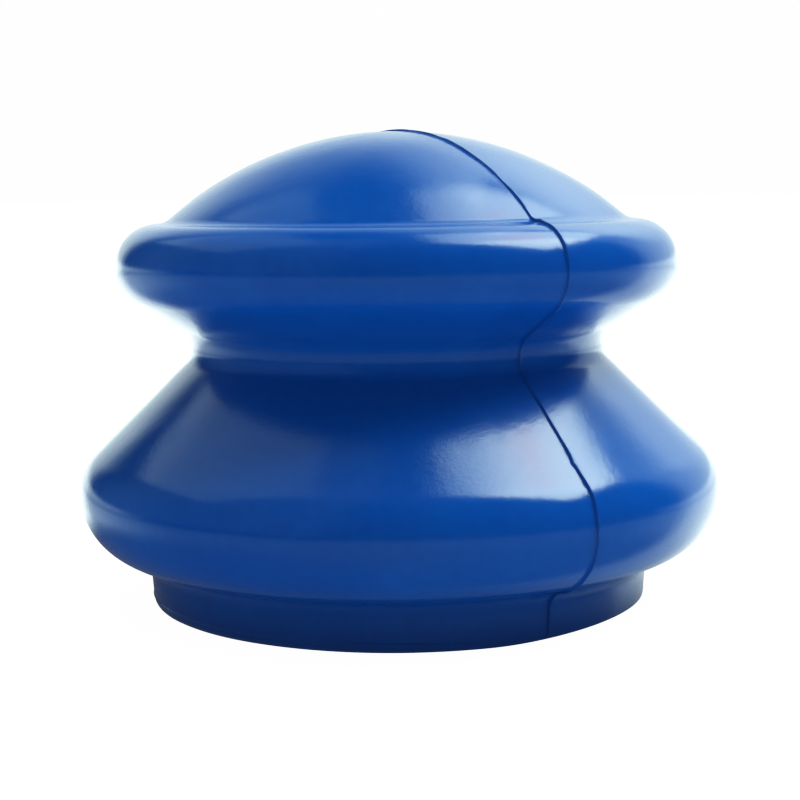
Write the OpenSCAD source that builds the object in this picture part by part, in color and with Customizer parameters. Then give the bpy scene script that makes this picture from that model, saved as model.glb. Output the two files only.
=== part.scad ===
// Bellows cupping cup, moulded in one piece from silicone rubber.
// Z runs up the axis of the cup, and the mouth's flat rim lies on z = 0.
// The wall is one closed band of tangent arcs and straight flanks, turned about Z.
// It is divided at level cuts, and at two round cuts in the dome, into the zones that
// move against each other when the cup is squeezed, leaned over or pressed.

/* [Foot] */
// Outside radius of the foot band at the mouth
mouth_r = 27.3; // [26.6:0.1:27.6]
// Outside radius of the foot band where it meets the bulge
foot_r = 27.8; // [27.6:0.1:28.4]
// Thickness of the foot band
lip_wall = 3.6; // [3:0.1:4.2]
// Rounding of the two edges of the rim
lip_edge = 0.8; // [0.4:0.1:1.2]
// Fillet between the foot band and the bulge
foot_fillet = 2.2; // [1:0.1:2.6]

/* [Bulge] */
// Largest radius of the cup
bulge_r = 35; // [34.6:0.1:35.6]
// Height of the largest radius above the rim
bulge_z = 12.4; // [12:0.1:13]
// Rounding below the largest radius
bulge_under = 7; // [6.6:0.1:7.4]
// Rounding above the largest radius
bulge_over = 5.8; // [5:0.1:6.4]

/* [Waist] */
// Smallest outside radius, at the waist
waist_r = 22.5; // [21.8:0.1:23.2]
// Height of the waist above the rim
waist_z = 28; // [27.4:0.1:28.6]
// Rounding of the waist's hollow
waist_round = 2.5; // [1.8:0.1:2.8]

/* [Top] */
// Largest radius of the upper roll
roll_r = 30.5; // [30:0.1:31]
// Height of the roll's largest radius
roll_z = 36.9; // [36.6:0.1:37.6]
// Rounding of the roll
roll_round = 4.5; // [4.2:0.1:4.8]
// Height of the top of the dome
cup_h = 51.1; // [50.4:0.1:52]
// Radius of the dome's sphere
dome_sphere = 37.7; // [36.6:0.1:39.4]
// Rounding of the groove between roll and dome
groove_round = 2.6; // [1.6:0.1:3]

/* [Wall] */
// Thickness of the moulded wall
wall = 3.2; // [2.6:0.1:3.6]

/* [Mould line] */
// Width of the raised line of flash
flash_w = 0.4; // [0.2:0.05:0.8]
// How far the flash stands proud of the wall
flash_h = 0.3; // [0.1:0.05:0.5]
// Direction of the mould's parting plane about Z
flash_angle = -57.5; // [-180:0.5:180]

/* [Zones] */
// Radius of the middle of the dome that is pressed in
crown_r = 13; // [8:0.5:18]

/* [Hidden] */
$fn = 128;
silicone = "#0c4aa6";

// centres of the profile's arcs, as [radius, height]
under_c = [bulge_r - bulge_under, bulge_z];
over_c  = [bulge_r - bulge_over, bulge_z];
waist_c = [waist_r + waist_round, waist_z];
roll_c  = [roll_r - roll_round, roll_z];
dome_c  = [0, cup_h - dome_sphere];

function heading(v) = atan2(v[1], v[0]);

// straight flanks: heading of the line that touches two arcs curving opposite ways
up_to_waist  = heading(waist_c - over_c)
             + asin((bulge_over + waist_round) / norm(waist_c - over_c));
up_to_roll   = heading(roll_c - waist_c)
             - asin((waist_round + roll_round) / norm(roll_c - waist_c));

// centre of the groove's rounding, which touches the roll and the dome
span = norm(roll_c - dome_c);
lean = acos((span * span + pow(dome_sphere + groove_round, 2) - pow(roll_round + groove_round, 2))
            / (2 * span * (dome_sphere + groove_round)));
groove_dir = heading(roll_c - dome_c) + lean;
groove_c = dome_c + (dome_sphere + groove_round) * [cos(groove_dir), sin(groove_dir)];
roll_end = heading(groove_c - roll_c);

// centre of the fillet, which touches the foot's outside and the arc under the bulge
fillet_x = foot_r + foot_fillet;
fillet_c = [fillet_x, bulge_z - sqrt(pow(bulge_under + foot_fillet, 2) - pow(fillet_x - under_c[0], 2))];
fillet_end = heading(under_c - fillet_c);

// heights and radii of the cuts between zones
foot_top   = bulge_z - bulge_under;
cut_lip    = 0.84 * foot_top;
cut_bowl   = bulge_z - 0.52 * bulge_under;
cut_bulge  = bulge_z + 3.6;
cut_waist  = waist_z - 2.5;
cut_neck   = waist_z + 1.2;
cut_roll   = roll_z - 3.4;
cut_groove = groove_c[0];
beyond     = 2 * bulge_r;

// an arc of radius r about c from angle a to b, in steps of at most 9 degrees or 2 mm
function arc(c, r, a, b) =
    let (n = max(2, ceil(abs(b - a) / 9), ceil(abs(b - a) * PI / 180 * r / 2)))
    [for (i = [0:n]) let (t = a + (b - a) * i / n) c + r * [cos(t), sin(t)]];

// the wall's line above the foot, moved outwards by o
function line_up(o, from) = concat(
    arc(under_c, bulge_under + o, from, 0),
    arc(over_c, bulge_over + o, 0, up_to_waist - 90),
    arc(waist_c, waist_round - o, up_to_waist + 90, up_to_roll + 90),
    arc(roll_c, roll_round + o, up_to_roll - 90, roll_end),
    arc(groove_c, groove_round - o, roll_end + 180, groove_dir + 180),
    arc(dome_c, dome_sphere + o, groove_dir, 90));

// the outside from the fillet up, moved outwards by o
function outside(o) = concat(
    arc(fillet_c, foot_fillet - o, 180, fillet_end),
    line_up(o, fillet_end - 180));

function backwards(p) = [for (i = [len(p) - 1:-1:0]) p[i]];

// the wall's section: up the outside, over the top, down the inside
module wall_section() {
    inner_r = mouth_r - lip_wall;
    floor_z = bulge_z - (bulge_under - wall);
    polygon(concat(
        arc([mouth_r - lip_edge, lip_edge], lip_edge, -90, 0),
        outside(0),
        backwards(line_up(-wall, -90)),
        arc([inner_r + 2, floor_z - 2], 2, 90, 180),
        arc([inner_r + lip_edge, lip_edge], lip_edge, 180, 270)));
}

// the flash's section, in the mould's parting plane, rooted in the wall
module flash_section() {
    polygon(concat(
        [[mouth_r - 0.5, lip_edge], [mouth_r + 0.6 * flash_h, lip_edge],
         [mouth_r + flash_h, lip_edge + 0.4]],
        outside(flash_h),
        backwards(line_up(-0.5, -90))));
}

// one zone of the cup: the part of the wall and its flash inside a region of the section
module zone() {
    color(silicone) {
        rotate_extrude() intersection() {
            wall_section();
            children();
        }
        for (side = [0, 180])
            rotate([0, 0, flash_angle + side]) rotate([90, 0, 0])
                linear_extrude(flash_w, center = true) intersection() {
                    flash_section();
                    children();
                }
    }
}

// a level band of the section
module band(low, high) {
    translate([0, low]) square([beyond, high - low]);
}

// a round band of the section, over the roll's middle
module over_roll(inner, outer) {
    translate([inner, roll_z]) square([outer - inner, beyond]);
}

module lip_ring() { zone() band(-1, cut_lip); }

module lower_bowl() { zone() band(cut_lip, cut_bowl); }

module bulge_ring() { zone() band(cut_bowl, cut_bulge); }

module lower_flank() { zone() band(cut_bulge, cut_waist); }

module waist_ring() { zone() band(cut_waist, cut_neck); }

module upper_flank() { zone() band(cut_neck, cut_roll); }

module roll_ring() {
    zone() difference() {
        band(cut_roll, beyond);
        over_roll(-1, cut_groove);
    }
}

module dome_flank() { zone() over_roll(crown_r, cut_groove); }

module crown_cap() { zone() over_roll(0, crown_r); }

lip_ring();
lower_bowl();
bulge_ring();
lower_flank();
waist_ring();
upper_flank();
roll_ring();
dome_flank();
crown_cap();
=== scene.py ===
import bpy
import math
import numpy as np
from mathutils import Matrix, Vector


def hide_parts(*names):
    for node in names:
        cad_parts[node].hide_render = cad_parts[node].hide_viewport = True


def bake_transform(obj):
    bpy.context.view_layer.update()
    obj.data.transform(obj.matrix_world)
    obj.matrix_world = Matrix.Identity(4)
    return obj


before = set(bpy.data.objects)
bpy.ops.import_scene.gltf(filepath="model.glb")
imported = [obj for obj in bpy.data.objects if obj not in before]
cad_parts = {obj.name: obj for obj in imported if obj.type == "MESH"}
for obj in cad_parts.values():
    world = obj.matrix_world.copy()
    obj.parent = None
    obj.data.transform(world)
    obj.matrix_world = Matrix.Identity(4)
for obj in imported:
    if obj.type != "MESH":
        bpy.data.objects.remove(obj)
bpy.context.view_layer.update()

# ---------------------------------------------------------------------------------------
# 1. The section of the moulding, in millimetres: the same arcs and flanks as the CAD part.
# ---------------------------------------------------------------------------------------
MOUTH_R, FOOT_R, LIP_WALL = 27.3, 27.5, 3.6
BULGE_R, BULGE_Z, UNDER, OVER = 35.0, 12.4, 7.0, 5.8
WAIST_R, WAIST_Z, WAIST_ROUND = 22.5, 28.0, 2.5
ROLL_R, ROLL_Z, ROLL_ROUND = 30.5, 36.9, 4.5
CUP_H, DOME, GROOVE = 51.1, 37.7, 2.6
FILLET = 2.2
WALL = 3.2
SEAM = math.radians(-57.5)          # direction of the mould's parting plane
MM = 0.001

V2 = lambda x, y: np.array([x, y], float)
under_c, over_c = V2(BULGE_R - UNDER, BULGE_Z), V2(BULGE_R - OVER, BULGE_Z)
waist_c, roll_c = V2(WAIST_R + WAIST_ROUND, WAIST_Z), V2(ROLL_R - ROLL_ROUND, ROLL_Z)
dome_c = V2(0, CUP_H - DOME)


def heading(v):
    return math.atan2(v[1], v[0])


def unit(a):
    return V2(math.cos(a), math.sin(a))


d = waist_c - over_c
UP1 = heading(d) + math.asin((OVER + WAIST_ROUND) / np.hypot(*d))
d = roll_c - waist_c
UP2 = heading(d) - math.asin((WAIST_ROUND + ROLL_ROUND) / np.hypot(*d))
span = np.hypot(*(roll_c - dome_c))
ga, gb = DOME + GROOVE, ROLL_ROUND + GROOVE
GDIR = heading(roll_c - dome_c) + math.acos((span ** 2 + ga ** 2 - gb ** 2) / (2 * span * ga))
groove_c = dome_c + ga * unit(GDIR)
REND = heading(groove_c - roll_c)
H = math.pi / 2

# Each stretch of the wall: an arc (centre, radius, first and last angle, +1 if the wall's
# outside is away from the centre, -1 if it faces it) or a straight flank between two arcs.
STRETCHES = [
    ("arc", under_c, UNDER, -H, 0.0, 1),
    ("arc", over_c, OVER, 0.0, UP1 - H, 1),
    ("line", over_c + OVER * unit(UP1 - H), waist_c + WAIST_ROUND * unit(UP1 + H), UP1 - H),
    ("arc", waist_c, WAIST_ROUND, UP1 + H, UP2 + H, -1),
    ("line", waist_c + WAIST_ROUND * unit(UP2 + H), roll_c + ROLL_ROUND * unit(UP2 - H), UP2 - H),
    ("arc", roll_c, ROLL_ROUND, UP2 - H, REND, 1),
    ("arc", groove_c, GROOVE, REND + math.pi, GDIR + math.pi, -1),
    ("arc", dome_c, DOME, GDIR, H, 1),
]


def at(k, t, off):
    """Point and outward direction of stretch k at t in 0..1, moved outwards by off."""
    s = STRETCHES[k]
    if s[0] == "line":
        n = unit(s[3])
        return s[1] + (s[2] - s[1]) * t + n * off, n
    _, c, r, a, b, side = s
    u = unit(a + (b - a) * t)
    return c + (r + side * off) * u, u * side


def stretch_length(k, off):
    s = STRETCHES[k]
    if s[0] == "line":
        return float(np.hypot(*(s[2] - s[1])))
    return abs(s[4] - s[3]) * (s[2] + s[5] * off)


MID = [stretch_length(k, -WALL / 2) for k in range(len(STRETCHES))]
MID0 = np.concatenate([[0], np.cumsum(MID)])


def mid_of(k, t):
    """How far along the middle of the wall, in mm: the same for the outside and the inside."""
    return MID0[k] + MID[k] * t


def mid_at(k, find):
    """The middle distance where find(point) crosses zero on stretch k."""
    lo, hi = 0.0, 1.0
    flo = find(at(k, lo, 0)[0])
    for _ in range(50):
        m = (lo + hi) / 2
        if (find(at(k, m, 0)[0]) > 0) == (flo > 0):
            lo = m
        else:
            hi = m
    return mid_of(k, lo)


S_EQUATOR = MID0[1]                                            # middle of the bulge
S_WAIST = mid_at(3, lambda p: p[1] - WAIST_Z)
S_GROOVE = mid_of(6, max(0.0, (REND - H) / (REND - GDIR)))     # lowest point of the groove
S_END = MID0[-1]


def smooth(t):
    t = np.clip(t, 0, 1)
    return t * t * (3 - 2 * t)


# ---------------------------------------------------------------------------------------
# 2. Rows of the surface, from the outside of the rim up to the crown, then down the inside.
# ---------------------------------------------------------------------------------------
rows = []       # dicts: p, n, s (middle distance), kind, e (how much of the edge rounding)


def add(p, n, s, kind, **more):
    rows.append(dict(p=np.array(p, float), n=np.array(n, float), s=s, kind=kind, **more))


# rounded outer edge of the rim, then the foot's outside and the fillet under the bulge
for i in range(9):
    a = -H + H * i / 8
    add((0, 0), unit(a), 0.0, "edge_out", a=a)
z_fillet = BULGE_Z - math.sqrt((UNDER + FILLET) ** 2 - (FOOT_R + FILLET - under_c[0]) ** 2)
for z in [1.0, 1.07, 1.14, 1.21, 1.28, 1.36, 1.46, 1.6, 1.8] + list(np.linspace(2.05, z_fillet, 7)):
    add((MOUTH_R + (FOOT_R - MOUTH_R) * (z - 0.8) / (z_fillet - 0.8), z), (1, -0.1), 0.0, "foot")
fc = V2(FOOT_R + FILLET, z_fillet)
a_end = heading(under_c - fc)
for i in range(1, 14):
    a = math.pi + (a_end - math.pi) * i / 14
    add(fc + FILLET * unit(a), -unit(a), 0.0, "fillet")

t_start = (heading(fc - under_c) + H) / H
OUT0 = len(rows)
marks = sorted([S_EQUATOR, S_WAIST, S_GROOVE])
for k in range(len(STRETCHES)):
    L = stretch_length(k, 0)
    s = STRETCHES[k]
    if k == 7:
        n = int(L / 0.42)
        ts = list(np.linspace(0, 1, n + 1)[:-1])
        arc_from_end = [2.4, 2.0, 1.65, 1.35, 1.1, 0.9, 0.75, 0.62, 0.5, 0.4, 0.32, 0.24, 0.16, 0.08]
        ts = [t for t in ts if (1 - t) * L > 2.7] + [1 - x / L for x in arc_from_end]
    else:
        step = 0.45 if s[0] == "line" else min(0.42, max(0.12, s[2] * 0.075))
        n = max(4, int(math.ceil(L / step)))
        ts = list(np.linspace(0, 1, n + 1)[:-1])
        if k == 0:
            ts = [t for t in ts if t > t_start + 0.4 / n]
            ts = [t_start] + ts
    for m in marks:                     # a row exactly on each cut between pieces
        if MID0[k] - 1e-9 <= m < MID0[k + 1] - 1e-9:
            t = (m - MID0[k]) / MID[k]
            near = int(np.argmin([abs(x - t) for x in ts]))
            ts[near] = t
    for t in ts:
        p, nn = at(k, t, 0)
        add(p, nn, mid_of(k, t), "out", k=k, t=t)
APEX_OUT = len(rows)
add((0, CUP_H), (0, 1), S_END, "pole_out")
APEX_IN = len(rows)
add((0, CUP_H - WALL), (0, -1), S_END, "pole_in")
for k in range(len(STRETCHES) - 1, -1, -1):
    L = stretch_length(k, -WALL)
    s = STRETCHES[k]
    step = 0.9 if s[0] == "line" or s[2] > 20 else 0.42
    n = max(6, int(math.ceil(L / step)))
    ts = list(np.linspace(1, 0, n + 1)[1:])
    if k == 7:
        ts = [1 - x / L for x in (0.12, 0.3, 0.55)] + [t for t in ts if (1 - t) * L > 0.8]
    for m in marks:
        if MID0[k] - 1e-9 <= m < MID0[k + 1] - 1e-9:
            t = (m - MID0[k]) / MID[k]
            near = int(np.argmin([abs(x - t) for x in ts]))
            ts[near] = t
    for t in ts:
        p, nn = at(k, t, -WALL)
        add(p, -nn, mid_of(k, t), "in", k=k, t=t)
floor_z = BULGE_Z - (UNDER - WALL)
inner_r = MOUTH_R - LIP_WALL
for r in (27.2, 26.4):
    add((r, floor_z), (0, 1), 0.0, "lip_in")
for i in range(9):
    a = H + H * i / 8
    add(V2(inner_r + 2, floor_z - 2) + 2 * unit(a), unit(a), 0.0, "lip_in")
for z in np.linspace(floor_z - 2.6, 1.6, 8):
    add((inner_r, z), (-1, 0), 0.0, "lip_in")
for i in range(9):
    a = math.pi + H * i / 8
    add((0, 0), unit(a), 0.0, "edge_in", a=a)
for f in (0.25, 0.5, 0.75):
    add((0, 0), (0, -1), 0.0, "rim", f=f)

NR = len(rows)
S = np.array([r["s"] for r in rows])

# ---------------------------------------------------------------------------------------
# 3. Columns: fine beside the mould line, even elsewhere. The two mould halves mirror.
# ---------------------------------------------------------------------------------------
M = 78                      # columns in a quarter turn
fine = [0.05, 0.05, 0.045, 0.04, 0.04, 0.045, 0.06, 0.08, 0.11, 0.15, 0.21, 0.29, 0.4, 0.55]
while len(fine) < M:
    fine.append(fine[-1] * 1.3)
fine = np.array(fine)


def quarter(r):
    """Angles of a quarter's columns from the mould line, at radius r in mm."""
    want = fine / max(r, 0.4)
    lo, hi = 1e-4, 1.0
    for _ in range(60):
        m = (lo + hi) / 2
        if np.minimum(want, m).sum() > H:
            hi = m
        else:
            lo = m
    step = np.minimum(want, lo)
    a = np.concatenate([[0], np.cumsum(step)])
    return a * (H / a[-1])


NC = 4 * M


def turn(r):
    q = quarter(r)
    half = np.concatenate([q, np.pi - q[::-1][1:]])          # 0 .. pi, 2M + 1 values
    return np.concatenate([half[:-1], np.pi + half[:-1]])


radii = np.array([r["p"][0] for r in rows])
for i, r in enumerate(rows):
    if r["kind"] in ("edge_out",):
        radii[i] = MOUTH_R
    if r["kind"] in ("edge_in",):
        radii[i] = inner_r
    if r["kind"] == "rim":
        radii[i] = 25.5
ANG = np.stack([turn(max(x, 0.0)) for x in radii])           # from the mould line
TH = ANG + SEAM                                              # true direction about Z

# ---------------------------------------------------------------------------------------
# 4. Unevenness of the moulding: slow waves, the flash along the mould line, the trimmed rim
# ---------------------------------------------------------------------------------------
rng = np.random.default_rng(7)


def ring_noise(th, s, modes, lengths, seed, n=14):
    """Smooth noise over direction and distance along the wall, about -1 to 1."""
    g = np.random.default_rng(seed)
    out = np.zeros(np.broadcast(th, s).shape)
    for _ in range(n):
        m = g.integers(modes[0], modes[1] + 1)
        L = g.uniform(*lengths)
        out = out + g.uniform(0.5, 1) * np.sin(m * th + g.uniform(0, 6.28)) * np.sin(
            2 * np.pi * s / L + g.uniform(0, 6.28))
    return out / math.sqrt(n) * 1.1


def line_noise(s, lengths, seed, n=10):
    g = np.random.default_rng(seed)
    out = np.zeros_like(s, dtype=float)
    for _ in range(n):
        out = out + g.uniform(0.4, 1) * np.sin(2 * np.pi * s / g.uniform(*lengths) + g.uniform(0, 6.28))
    return out / math.sqrt(n)


# distance along the outside, for the flash
P = np.stack([r["p"] for r in rows])
Nrm = np.stack([r["n"] / np.hypot(*r["n"]) for r in rows])
kinds = np.array([r["kind"] for r in rows])
outside = np.isin(kinds, ["out", "pole_out", "fillet", "foot", "edge_out"])
inside = np.isin(kinds, ["in", "pole_in", "lip_in"])

c, s_ = np.cos(TH), np.sin(TH)
edge_e = 0.30 + 0.62 * smooth((np.cos(TH[0] - math.radians(200)) + 0.35) / 1.1)     # rim's rounding by direction

R2 = np.repeat(P[:, 0:1], NC, 1)
Z2 = np.repeat(P[:, 1:2], NC, 1)
for i, r in enumerate(rows):
    e = edge_e
    if r["kind"] == "edge_out":
        R2[i] = MOUTH_R - e + e * math.cos(r["a"])
        Z2[i] = e + e * math.sin(r["a"])
    elif r["kind"] == "edge_in":
        R2[i] = inner_r + 0.8 + 0.8 * math.cos(r["a"])
        Z2[i] = 0.8 + 0.8 * math.sin(r["a"])
    elif r["kind"] == "foot":
        Z2[i] = P[i, 1] + (e - 0.92) * (z_fillet - P[i, 1]) / (z_fillet - 0.92)
    elif r["kind"] == "rim":
        R2[i] = (inner_r + 0.8) * (1 - r["f"]) + (MOUTH_R - e) * r["f"]
        Z2[i] = 0.0

# outside distance coordinate (mm), continuous from the rim to the crown
so = np.zeros(NR)
for i in range(1, APEX_OUT + 1):
    so[i] = so[i - 1] + (0.15 if rows[i]["kind"] == "edge_out" else np.hypot(*(P[i] - P[i - 1])) if rows[i - 1]["kind"] != "edge_out" else 0.4)
so[APEX_OUT + 1:] = so[APEX_OUT]
SO = np.repeat(so[:, None], NC, 1)
GROOVE_SO = so[int(np.argmin(np.abs(S[:APEX_OUT] - S_GROOVE)))]
WAIST_SO = so[int(np.argmin(np.abs(S[:APEX_OUT] - S_WAIST)))]


def so_at_z(z, lo, hi):
    idx = [i for i in range(OUT0, APEX_OUT) if lo <= P[i, 1] <= hi]
    return so[min(idx, key=lambda i: abs(P[i, 1] - z))]


disp = np.zeros((NR, NC))
# slow waves of the wall
wave = 0.035 * ring_noise(TH, SO, (1, 6), (14, 46), 3) + 0.010 * ring_noise(TH, SO, (5, 17), (6, 15), 5, 22)
fade = smooth(R2 / 6.0)                                     # calm at the crown's pole
disp += np.where(outside[:, None], wave * fade, 0)
disp += np.where(inside[:, None], 0.05 * ring_noise(TH, S[:, None] + 0 * TH, (1, 6), (14, 40), 11) * fade, 0)

# the flash: lateral distance from the parting plane, front side and far side
lat = R2 * np.sin(ANG)
front = np.cos(ANG) >= 0
side_seed = np.where(front, 0, 1)
wob = np.where(front, 0.035 * line_noise(SO, (3, 17), 21), 0.045 * line_noise(SO, (3, 17), 22))
near_pole = smooth(R2 / 5.0)
wob = wob * near_pole
nick_so = so_at_z(18.3, 16.6, 26)
nick = np.where(front, np.exp(-((SO - nick_so) / 0.45) ** 2), 0)
latw = lat - wob + 0.10 * nick
hgt = np.where(front, 0.25 + 0.04 * line_noise(SO, (2.2, 13), 31), 0.24 + 0.06 * line_noise(SO, (2.2, 13), 32))
hgt = hgt * near_pole + (1 - near_pole) * 0.25
on_dome = smooth((SO - GROOVE_SO - 0.6) / 1.5)
hgt = hgt * (1 - 0.30 * on_dome)
wid = 1.0 + 0.16 * np.where(front, line_noise(SO, (2, 9), 41), line_noise(SO, (2, 9), 42)) * near_pole
in_groove = np.exp(-((SO - GROOVE_SO) / 0.85) ** 2)
hgt = hgt + 0.05 * in_groove + 0.07 * nick
wid = 0.82 * wid + 0.25 * in_groove + 0.5 * nick
foot_fade = smooth((SO - 0.6) / 1.2)
x = np.abs(latw) / wid
ridge = hgt * (1 - smooth((x - 0.055 + 0.012 * on_dome) / 0.095)) + 0.03 * np.exp(-(x / 0.26) ** 2)
disp += np.where(outside[:, None], ridge * foot_fade, 0)
# the two mould halves don't meet quite level
step_h = np.where(front, 0.030 + 0.03 * line_noise(SO, (9, 40), 51), 0.03 + 0.03 * line_noise(SO, (9, 40), 52))
mism = np.tanh(lat / 0.09) * np.exp(-np.abs(lat) / 1.8) * step_h * near_pole
disp += np.where(outside[:, None], mism * foot_fade, 0)
# a thin web of flash runs a little way along the groove beside the line
web = np.where(front, np.exp(-((SO - GROOVE_SO - 0.15) / 0.35) ** 2) * np.where(lat < 0, np.exp(-(lat / 0.9) ** 2), np.exp(-(lat / 0.35) ** 2)), 0)
disp += np.where(outside[:, None], 0.14 * web, 0)
# a fine bead left just above the rim's rounding where the mould closes
bead = np.exp(-((Z2 - edge_e - 0.24) / 0.10) ** 2) * smooth((np.cos(TH - math.radians(205)) + 0.25) / 0.8)
disp += np.where(np.isin(kinds, ["foot"])[:, None], 0.08 * bead, 0)

R3 = R2 + disp * Nrm[:, 0:1]
Z3 = Z2 + disp * Nrm[:, 1:2]
# on one side the rim is trimmed a little short and the foot leans in
side = np.cos(TH - math.radians(-8))
share = np.where(np.isin(kinds, ["edge_out", "foot", "edge_in", "rim", "lip_in", "fillet"])[:, None], 1 - smooth((Z2 - 3.0) / 2.2), 0)
Z3 = Z3 + 0.45 * smooth((side - 0.45) / 0.5) * share
R3 = R3 - np.where(np.isin(kinds, ["edge_out", "foot", "fillet"])[:, None], 0.33 * smooth(side) * share, 0)

X3, Y3 = R3 * c, R3 * s_
G = np.stack([X3, Y3, Z3], -1)                               # NR x NC x 3, mm
G[APEX_OUT] = G[APEX_OUT].mean(0)
G[APEX_IN] = G[APEX_IN].mean(0)

# normals of the whole skin, worked out before it is divided into pieces
du = np.roll(G, -1, 1) - np.roll(G, 1, 1)
dv = np.zeros_like(G)
loop = list(range(APEX_OUT + 1))
dv[1:APEX_OUT] = G[2:APEX_OUT + 1] - G[0:APEX_OUT - 1]
dv[APEX_IN + 1:NR - 1] = G[APEX_IN + 2:NR] - G[APEX_IN:NR - 2]
dv[0] = G[1] - G[NR - 1]
dv[NR - 1] = G[0] - G[NR - 2]
NN = np.cross(du, dv)
NN[APEX_OUT] = (0, 0, 1)
NN[APEX_IN] = (0, 0, -1)
NN /= np.linalg.norm(NN, axis=-1, keepdims=True)

# ---------------------------------------------------------------------------------------
# 5. The material: moulded silicone rubber, satin to glossy, opaque royal blue
# ---------------------------------------------------------------------------------------


def new_material(name):
    m = bpy.data.materials.new(name)
    m.use_nodes = True
    nt = m.node_tree
    nt.nodes.clear()
    out = nt.nodes.new("ShaderNodeOutputMaterial")
    b = nt.nodes.new("ShaderNodeBsdfPrincipled")
    nt.links.new(b.outputs[0], out.inputs[0])
    return m, nt, b


def silicone():
    m, nt, b = new_material("silicone_blue")
    N = nt.nodes.new
    link = nt.links.new
    tc = N("ShaderNodeTexCoord")

    def noise(scale, detail=3.0, rough=0.55, dist=0.0):
        n = N("ShaderNodeTexNoise")
        n.inputs["Scale"].default_value = scale
        n.inputs["Detail"].default_value = detail
        n.inputs["Roughness"].default_value = rough
        n.inputs["Distortion"].default_value = dist
        link(tc.outputs["Object"], n.inputs["Vector"])
        return n.outputs["Fac"]

    def remap(src, a, bb, lo, hi):
        r = N("ShaderNodeMapRange")
        r.inputs["From Min"].default_value = a
        r.inputs["From Max"].default_value = bb
        r.inputs["To Min"].default_value = lo
        r.inputs["To Max"].default_value = hi
        link(src, r.inputs["Value"])
        return r.outputs["Result"]

    def math_(op, x, y):
        n = N("ShaderNodeMath")
        n.operation = op
        for i, v in enumerate((x, y)):
            if isinstance(v, (int, float)):
                n.inputs[i].default_value = v
            else:
                link(v, n.inputs[i])
        return n.outputs[0]

    # colour: slow swirls of the pigment, and a fine mottle
    cloud = noise(55, 4, 0.6, 0.6)
    mottle = noise(900, 3, 0.6)
    fac = math_("ADD", remap(cloud, 0.3, 0.7, 0.0, 0.62), remap(mottle, 0.3, 0.7, 0.0, 0.38))
    mix = N("ShaderNodeMix")
    mix.data_type = "RGBA"
    mix.inputs["A"].default_value = (0.0035, 0.080, 0.335, 1)
    mix.inputs["B"].default_value = (0.0045, 0.101, 0.385, 1)
    link(fac, mix.inputs["Factor"])
    # dust: tiny pale specks
    vor = N("ShaderNodeTexVoronoi")
    vor.inputs["Scale"].default_value = 210
    link(tc.outputs["Object"], vor.inputs["Vector"])
    speck = remap(vor.outputs["Distance"], 0.022, 0.034, 1.0, 0.0)
    pick = remap(noise(120, 1, 0.5), 0.60, 0.64, 0.0, 1.0)
    speck = math_("MULTIPLY", speck, pick)
    dust = N("ShaderNodeMix")
    dust.data_type = "RGBA"
    dust.inputs["B"].default_value = (0.30, 0.42, 0.62, 1)
    link(mix.outputs["Result"], dust.inputs["A"])
    link(math_("MULTIPLY", speck, 0.45), dust.inputs["Factor"])
    link(dust.outputs["Result"], b.inputs["Base Color"])
    # gloss: satin skin, with patches a little duller where it was handled
    r1 = remap(noise(95, 4, 0.65, 0.5), 0.35, 0.7, 0.0, 0.06)
    r2 = remap(noise(1500, 2, 0.6), 0.3, 0.7, 0.0, 0.03)
    rough = math_("ADD", math_("ADD", r1, r2), 0.115)
    rough = math_("ADD", rough, math_("MULTIPLY", speck, 0.2))
    link(rough, b.inputs["Roughness"])
    b.inputs["IOR"].default_value = 1.46
    b.inputs["Specular IOR Level"].default_value = 0.55
    b.inputs["Sheen Weight"].default_value = 0.0
    # surface: the fine skin of the mould
    h1 = remap(noise(2600, 3, 0.65), 0.3, 0.7, 0.0, 0.55)
    h2 = remap(noise(800, 2, 0.5), 0.3, 0.7, 0.0, 0.5)
    h3 = math_("MULTIPLY", speck, 1.2)
    height = math_("ADD", math_("ADD", h1, h2), h3)
    bump = N("ShaderNodeBump")
    bump.inputs["Strength"].default_value = 0.4
    bump.inputs["Distance"].default_value = 0.00002
    link(height, bump.inputs["Height"])
    link(bump.outputs["Normal"], b.inputs["Normal"])
    return m


mat = silicone()

# ---------------------------------------------------------------------------------------
# 6. Pieces: closed solids that meet inside the wall
# ---------------------------------------------------------------------------------------


def row_at(s, inner):
    idx = range(APEX_IN + 1, NR) if inner else range(OUT0, APEX_OUT)
    ok = [i for i in idx if kinds[i] in ("out", "in")]
    return min(ok, key=lambda i: abs(S[i] - s))


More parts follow.
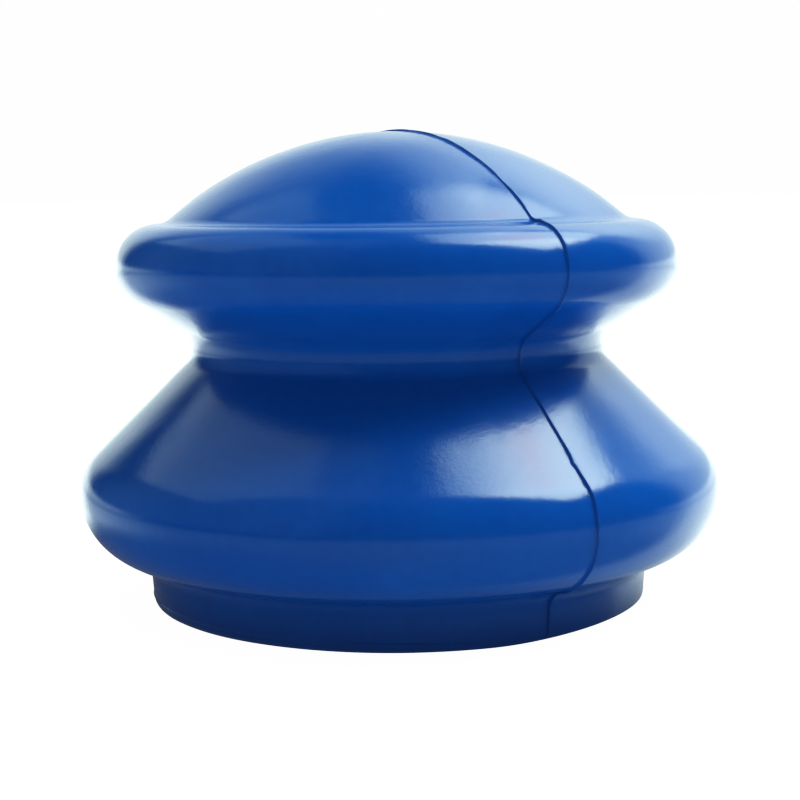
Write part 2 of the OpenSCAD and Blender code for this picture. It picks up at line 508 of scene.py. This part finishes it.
def make_piece(name, outer, inner, poles=False, rim=False):
    """outer: rows going up, inner: rows going down. Joined in a closed loop of rows."""
    seq = list(outer) + list(inner)
    pole_rows = {APEX_OUT, APEX_IN} & set(seq)
    index = {}
    co, no, rr = [], [], []
    for i in seq:
        if i in pole_rows:
            index[i] = len(co)
            co.append(G[i, 0]); no.append(NN[i, 0]); rr.append(i)
        else:
            index[i] = len(co)
            co.extend(G[i]); no.extend(NN[i]); rr.extend([i] * NC)
    faces = []
    pairs = list(zip(seq, seq[1:]))
    if not poles or rim:
        pass
    pairs.append((seq[-1], seq[0]))
    for a, b_ in pairs:
        if a in pole_rows and b_ in pole_rows:
            continue
        if b_ in pole_rows:
            for j in range(NC):
                faces.append((index[a] + j, index[a] + (j + 1) % NC, index[b_]))
        elif a in pole_rows:
            for j in range(NC):
                faces.append((index[a], index[b_] + (j + 1) % NC, index[b_] + j))
        else:
            for j in range(NC):
                k = (j + 1) % NC
                faces.append((index[a] + j, index[a] + k, index[b_] + k, index[b_] + j))
    me = bpy.data.meshes.new(name)
    me.from_pydata([tuple(v) for v in np.array(co) * MM], [], faces)
    me.update()
    me.polygons.foreach_set("use_smooth", [True] * len(me.polygons))
    me.normals_split_custom_set_from_vertices([tuple(n) for n in no])
    me.materials.append(mat)
    o = bpy.data.objects.new(name, me)
    bpy.context.scene.collection.objects.link(o)
    return o, np.array(rr)


def bend(o):
    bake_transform(o)


i_eq_o, i_eq_i = row_at(S_EQUATOR, False), row_at(S_EQUATOR, True)
i_wa_o, i_wa_i = row_at(S_WAIST, False), row_at(S_WAIST, True)
i_gr_o, i_gr_i = row_at(S_GROOVE, False), row_at(S_GROOVE, True)

o, rr = make_piece("cup_lip_to_bulge", range(0, i_eq_o + 1), range(i_eq_i, NR))
bend(o)
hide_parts("lip_ring", "lower_bowl")
o, rr = make_piece("cup_bulge_to_waist", range(i_eq_o, i_wa_o + 1), range(i_wa_i, i_eq_i + 1))
bend(o)
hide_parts("bulge_ring", "lower_flank")
o, rr = make_piece("cup_waist_to_groove", range(i_wa_o, i_gr_o + 1), range(i_gr_i, i_wa_i + 1))
bend(o)
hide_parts("waist_ring", "upper_flank", "roll_ring")
o, rr = make_piece("cup_dome", range(i_gr_o, APEX_OUT + 1), range(APEX_IN, i_gr_i + 1))
bend(o)
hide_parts("dome_flank", "crown_cap")

# ---------------------------------------------------------------------------------------
# 7. Floor, studio light and camera
# ---------------------------------------------------------------------------------------
bpy.ops.mesh.primitive_circle_add(vertices=96, radius=6.0, fill_type="NGON", location=(0, 0, 0))
floor = bpy.context.object
floor.name = "floor"
fm, fnt, fb = new_material("floor_white")
# a light table: it glows evenly, so the cup stands on white with next to no shadow
fb.inputs["Base Color"].default_value = (0.10, 0.10, 0.10, 1)
fb.inputs["Roughness"].default_value = 0.9
fb.inputs["Specular IOR Level"].default_value = 0.0
fb.inputs["Emission Color"].default_value = (1, 1, 1, 1)
fb.inputs["Emission Strength"].default_value = 0.95
floor.data.materials.append(fm)
floor.visible_glossy = False        # what the cup mirrors below it is set with the rest of the light


def stage_material(name, grey, glow_):
    m_, _, b_ = new_material(name)
    b_.inputs["Base Color"].default_value = (grey, grey, grey, 1)
    b_.inputs["Roughness"].default_value = 0.9
    b_.inputs["Specular IOR Level"].default_value = 0.0
    b_.inputs["Emission Color"].default_value = (1, 1, 1, 1)
    b_.inputs["Emission Strength"].default_value = glow_
    return m_


# a dark card on the table round the foot, out of the camera's sight: painted shade that keeps the table's
# glow off the foot, standing in for the cup's own shadow
n_ring = 96
ring_v, ring_f = [], []
for rad in (0.0230, 0.0400):
    ring_v += [(rad * math.cos(2 * math.pi * i / n_ring) - (0.005 if rad > 0.03 else 0.0), rad * math.sin(2 * math.pi * i / n_ring), 0.00004)
               for i in range(n_ring)]
for i in range(n_ring):
    k = (i + 1) % n_ring
    ring_f.append((i, k, n_ring + k, n_ring + i))
ring_me = bpy.data.meshes.new("shade_card")
ring_me.from_pydata(ring_v, [], ring_f)
shade_m = stage_material("shade_grey", 0.06, 0.34)
st = shade_m.node_tree
s_tc = st.nodes.new("ShaderNodeTexCoord")
s_len = st.nodes.new("ShaderNodeVectorMath")
s_len.operation = "LENGTH"
st.links.new(s_tc.outputs["Object"], s_len.inputs[0])
# painted contact shadow: the card glows least next to the foot and more further out
s_map = st.nodes.new("ShaderNodeMapRange")
s_map.inputs["From Min"].default_value = 0.028
s_map.inputs["From Max"].default_value = 0.038
s_map.inputs["To Min"].default_value = 0.22
s_map.inputs["To Max"].default_value = 0.50
st.links.new(s_len.outputs["Value"], s_map.inputs["Value"])
s_bsdf = [n for n in st.nodes if n.type == "BSDF_PRINCIPLED"][0]
st.links.new(s_map.outputs["Result"], s_bsdf.inputs["Emission Strength"])
ring_me.materials.append(shade_m)
card = bpy.data.objects.new("shade_card", ring_me)
bpy.context.scene.collection.objects.link(card)
card.visible_camera = False
card.visible_shadow = False
card.visible_glossy = False
# and a black one that only its mirror image shows: painted shade on the table, for the dark reflection under the
# bulge
dark_v, dark_f = [], []
for rad in (0.0230, 0.0700):
    dark_v += [(rad * math.cos(2 * math.pi * i / n_ring),
                rad * math.sin(2 * math.pi * i / n_ring), 0.00006) for i in range(n_ring)]
dark_me = bpy.data.meshes.new("mirrored_shade_card")
dark_me.from_pydata(dark_v, [], ring_f)
dark_m = stage_material("black", 0.02, 0.13)
dt = dark_m.node_tree
d_tc = dt.nodes.new("ShaderNodeTexCoord")
# painted shade in the mirror image: opaque near the foot, centred 12 mm to the left, clear from 60 mm out
d_off = dt.nodes.new("ShaderNodeVectorMath")
d_off.operation = "DISTANCE"
d_off.inputs[1].default_value = (-0.012, 0.0, 0.0)
dt.links.new(d_tc.outputs["Object"], d_off.inputs[0])
d_map = dt.nodes.new("ShaderNodeMapRange")
d_map.interpolation_type = "SMOOTHSTEP"
d_map.inputs["From Min"].default_value = 0.032
d_map.inputs["From Max"].default_value = 0.060
dt.links.new(d_off.outputs["Value"], d_map.inputs["Value"])
d_clear = dt.nodes.new("ShaderNodeBsdfTransparent")
d_mix = dt.nodes.new("ShaderNodeMixShader")
d_out = [n for n in dt.nodes if n.type == "OUTPUT_MATERIAL"][0]
d_bsdf = [n for n in dt.nodes if n.type == "BSDF_PRINCIPLED"][0]
dt.links.new(d_map.outputs["Result"], d_mix.inputs[0])
dt.links.new(d_bsdf.outputs[0], d_mix.inputs[1])
dt.links.new(d_clear.outputs[0], d_mix.inputs[2])
dt.links.new(d_mix.outputs[0], d_out.inputs[0])
dark_me.materials.append(dark_m)
dark = bpy.data.objects.new("mirrored_shade_card", dark_me)
bpy.context.scene.collection.objects.link(dark)
dark.visible_camera = False
dark.visible_shadow = False
dark.visible_diffuse = False


def fill_light(name, place, size, radiance):
    """A soft light that isn't mirrored in the cup: its energy gives the radiance named."""
    li = bpy.data.lights.new(name, "AREA")
    li.shape = "SQUARE"
    li.size = size
    li.energy = radiance * math.pi * size * size
    ob = bpy.data.objects.new(name, li)
    bpy.context.scene.collection.objects.link(ob)
    ob.location = place
    ob.rotation_euler = (Vector((0, 0, 0.02)) - Vector(place)).to_track_quat("-Z", "Y").to_euler()
    ob.visible_glossy = False
    ob.visible_camera = False
    return ob


fill_light("fill_over", (0.05, -0.05, 0.70), 0.60, 1.1)
fill_light("fill_front", (-0.12, -0.60, 0.38), 0.55, 0.42)
fill_light("fill_right", (0.55, -0.25, 0.27), 0.50, 0.35)

world = bpy.data.worlds.new("studio")
bpy.context.scene.world = world
world.use_nodes = True
wt = world.node_tree
wt.nodes.clear()
WN = wt.nodes.new
wl = wt.links.new


def wmath(op, *xs, clamp=False):
    n = WN("ShaderNodeMath")
    n.operation = op
    n.use_clamp = clamp
    for i, v in enumerate(xs):
        if isinstance(v, (int, float)):
            n.inputs[i].default_value = v
        else:
            wl(v, n.inputs[i])
    return n.outputs[0]


def ramp(v, a, b_):
    """0 below a, 1 above b, smooth between; works with a > b too."""
    r = WN("ShaderNodeMapRange")
    r.interpolation_type = "SMOOTHSTEP"
    lo, hi, x0, x1 = (a, b_, 0.0, 1.0) if a < b_ else (b_, a, 1.0, 0.0)
    r.inputs["From Min"].default_value = lo
    r.inputs["From Max"].default_value = hi
    r.inputs["To Min"].default_value = x0
    r.inputs["To Max"].default_value = x1
    wl(v, r.inputs["Value"])
    return r.outputs["Result"]


tc = WN("ShaderNodeTexCoord")
sep = WN("ShaderNodeSeparateXYZ")
wl(tc.outputs["Generated"], sep.inputs[0])
dx, dy, dz = sep.outputs
zpos = wmath("MAXIMUM", dz, 0.02)
gx = wmath("DIVIDE", dx, zpos)              # where a ray meets a level ceiling, sideways
gy = wmath("DIVIDE", dy, zpos)              # and front to back
el = wmath("ARCSINE", dz)
az = wmath("ARCTAN2", dx, wmath("MULTIPLY", dy, -1.0))       # 0 towards the camera
absaz = wmath("ABSOLUTE", az)
DEG = math.pi / 180


def mul(*xs):
    v = xs[0]
    for x in xs[1:]:
        v = wmath("MULTIPLY", v, x)
    return v


def rect(x0, x1, y0, y1, soft=0.03):
    return mul(ramp(gx, x0 - soft, x0 + soft), ramp(gx, x1 + soft, x1 - soft),
               ramp(gy, y0 - soft, y0 + soft), ramp(gy, y1 + soft, y1 - soft),
               ramp(dz, 0.05, 0.15))


def plane(cx, cy, at_, soft):
    """1 where cx * gx + cy * gy is above at_, over a soft edge."""
    v = wmath("ADD", mul(gx, cx), mul(gy, cy))
    return ramp(v, at_ - soft, at_ + soft)


def lerp(a, b_, t):
    return wmath("ADD", a, wmath("MULTIPLY", wmath("SUBTRACT", b_, a), t))


above = ramp(dz, 0.05, 0.15)
# the large softbox overhead on the right, hottest towards its right side
key = mul(plane(1, 0.2, 0.135, 0.03), plane(0.85, -1, -0.33, 0.035), plane(-1, -0.25, -1.05, 0.05),
           plane(0.15, 1, -0.12, 0.05), plane(0, -1, -0.80, 0.02), above)
glow = lerp(2.6, 6.8, ramp(gx, 0.05, 0.50))
glow = mul(glow, lerp(1.0, 0.62, ramp(gy, 0.15, 0.65)))
glow = mul(glow, lerp(1.0, 1.45, plane(1, -0.83, 0.43, 0.03)))
key = mul(key, glow)
# a weaker one on the left
left_box = mul(plane(-1, 0, 0.31, 0.03), plane(1, 0, -1.28, 0.06), plane(-0.85, -1, -0.33, 0.035),
               plane(0, 1, -0.12, 0.08), above, lerp(0.50, 0.80, ramp(gy, 0.60, 0.95)))
# the white backdrop, and the wall behind it, brighter towards the right
u = wmath("ARCTAN2", dx, dy)                # 0 at the back, positive to the right
low = lerp(1.05, 0.40, ramp(el, 15 * DEG, 45 * DEG))
low = mul(low, ramp(el, 64 * DEG, 42 * DEG))
high = mul(ramp(u, -10 * DEG, 35 * DEG), lerp(1.0, 0.1, ramp(u, 38 * DEG, 50 * DEG)),
           ramp(el, 12 * DEG, 40 * DEG), ramp(el, 68 * DEG, 60 * DEG), 2.0)
notch = wmath("MAXIMUM", wmath("MAXIMUM", ramp(gy, 0.83, 0.88), ramp(gx, 0.38, 0.31)), ramp(gx, 0.62, 0.70))
high = mul(high, notch)
wall = mul(wmath("ADD", low, high), ramp(u, -40 * DEG, -27 * DEG), ramp(u, 70 * DEG, 54 * DEG),
           ramp(dy, -0.05, 0.05))
# what is left: a dim room in front, a little lighter on its left
room = lerp(0.03, 0.24, mul(ramp(u, -35 * DEG, -70 * DEG), ramp(u, -168 * DEG, -140 * DEG)))
room = mul(room, ramp(dz, -0.05, 0.10))
ground = lerp(0.40, 1.0, ramp(dy, -0.2, 0.6))
ground = lerp(ground, 0.30, ramp(dz, -0.25, -0.55))
ground = mul(ground, ramp(dz, -0.02, -0.14))
horizon = mul(ramp(dz, -0.14, -0.02), ramp(dz, 0.10, -0.02), ramp(dy, 0.0, 0.5), 1.0)
total = wmath("ADD", wmath("ADD", key, left_box), wmath("ADD", wall, room))
total = wmath("ADD", total, wmath("MAXIMUM", ground, mul(horizon, wmath("SUBTRACT", 1.0, ramp(dz, -0.02, 0.05)))))
lp = WN("ShaderNodeLightPath")
bg_light = WN("ShaderNodeBackground")
wl(total, bg_light.inputs["Strength"])
# daylight, warmer in one patch of the softbox
warm = mul(ramp(gx, 0.32, 0.42), ramp(gx, 0.66, 0.58), ramp(gy, 0.02, 0.12), ramp(gy, 0.46, 0.32), above)
tint = WN("ShaderNodeMix")
tint.data_type = "RGBA"
tint.inputs["A"].default_value = (0.86, 1.01, 0.99, 1)
tint.inputs["B"].default_value = (0.90, 0.80, 0.66, 1)
wl(warm, tint.inputs["Factor"])
wl(tint.outputs["Result"], bg_light.inputs["Color"])
bg_cam = WN("ShaderNodeBackground")
bg_cam.inputs["Color"].default_value = (0.985, 0.985, 0.985, 1)
bg_cam.inputs["Strength"].default_value = 1.0
mixs = WN("ShaderNodeMixShader")
wl(lp.outputs["Is Camera Ray"], mixs.inputs[0])
wl(bg_light.outputs[0], mixs.inputs[1])
wl(bg_cam.outputs[0], mixs.inputs[2])
wo = WN("ShaderNodeOutputWorld")
wl(mixs.outputs[0], wo.inputs[0])

# colours as a camera shows them: a mild contrast curve, set in display values
view = bpy.context.scene.view_settings
view.view_transform = "Standard"
view.use_curve_mapping = True
curve = view.curve_mapping.curves[3]


def to_display(v):
    return 12.92 * v if v <= 0.0031308 else 1.055 * v ** (1 / 2.4) - 0.055


def to_linear(v):
    return v / 12.92 if v <= 0.04045 else ((v + 0.055) / 1.055) ** 2.4


CONTRAST = 0.5
for v in (0.005, 0.012, 0.025, 0.05, 0.09, 0.15, 0.24, 0.36, 0.50, 0.66, 0.83):
    x_ = to_display(v)
    y_ = (1 - CONTRAST) * x_ + CONTRAST * (3 * x_ ** 2 - 2 * x_ ** 3)
    curve.points.new(v, to_linear(y_))
view.curve_mapping.update()

cam = bpy.data.cameras.new("camera")
cam_o = bpy.data.objects.new("camera", cam)
bpy.context.scene.collection.objects.link(cam_o)
pitch, roll, pan = math.radians(6.873), math.radians(-0.708), -0.001
fwd = Vector((-math.sin(pan) * math.cos(pitch), math.cos(pan) * math.cos(pitch), -math.sin(pitch)))
right = Vector((math.cos(pan), math.sin(pan), 0))
up = right.cross(fwd)
# the picture's content is turned by roll, so the camera turns the other way
r2 = right * math.cos(roll) + up * math.sin(roll)
u2 = -right * math.sin(roll) + up * math.cos(roll)
m = Matrix((r2, u2, -fwd)).transposed().to_4x4()
m.translation = Vector((0, -195.86 * MM, 45.237 * MM))
cam_o.matrix_world = m
cam.sensor_width = 36.0
cam.lens = 1780.36 / 800 * 36
cam.clip_start = 0.01
cam.clip_end = 50
bpy.context.scene.camera = cam_o
